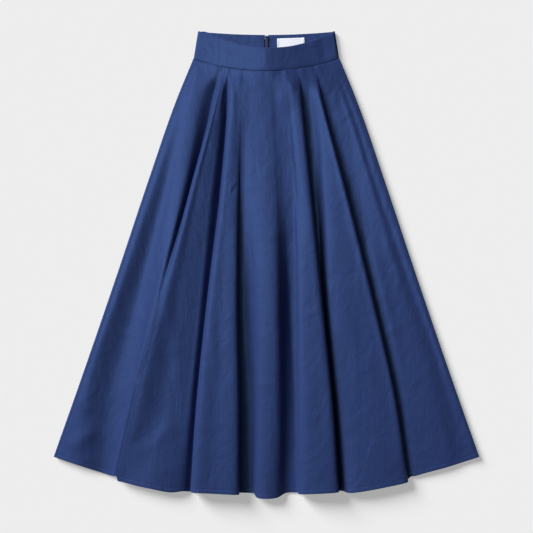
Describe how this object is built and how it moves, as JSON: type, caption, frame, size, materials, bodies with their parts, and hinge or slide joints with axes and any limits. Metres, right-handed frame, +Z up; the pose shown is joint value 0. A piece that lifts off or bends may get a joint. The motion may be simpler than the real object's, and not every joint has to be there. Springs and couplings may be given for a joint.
{
  "type": "midi skirt",
  "caption": "Flared midi skirt laid flat: smooth back, front in deep soft folds, shaped waistband, zip at the centre back.",
  "frame": {"origin": "on the surface the skirt lies on, under the middle of its bounding box", "axes": "+Y from the hem to the waist, +X to the right as seen from above, +Z up off the surface"},
  "size_m": [0.8488, 0.925, 0.0349],
  "materials": {
    "navy_satin": "navy blue cotton satin with a soft sheen",
    "navy_zip_tape": "dark navy woven polyester tape",
    "navy_nylon_coil": "dark navy nylon coil",
    "painted_zip_metal": "grey-blue painted zinc",
    "white_woven_label": "white woven label, bare"
  },
  "bodies": {
    "skirt": {"front_panel": "navy_satin", "back_panel_left": "navy_satin", "back_panel_right": "navy_satin", "waistband_front": "navy_satin", "waistband_back_left": "navy_satin", "waistband_back_right": "navy_satin", "zip_tape_left": "navy_zip_tape", "zip_tape_right": "navy_zip_tape", "zip_coil": "navy_nylon_coil", "zip_slider": "painted_zip_metal", "label": "white_woven_label"},
    "pull_tab": {"zip_pull": "painted_zip_metal"}
  },
  "joints": [
    {"name": "pull_tab_hinge", "type": "hinge", "parent": "skirt", "child": "pull_tab", "pos_m": [0, 0.4503, 0.0064], "axis": [-1, 0, 0], "range_deg": [0, 165]}
  ]
}
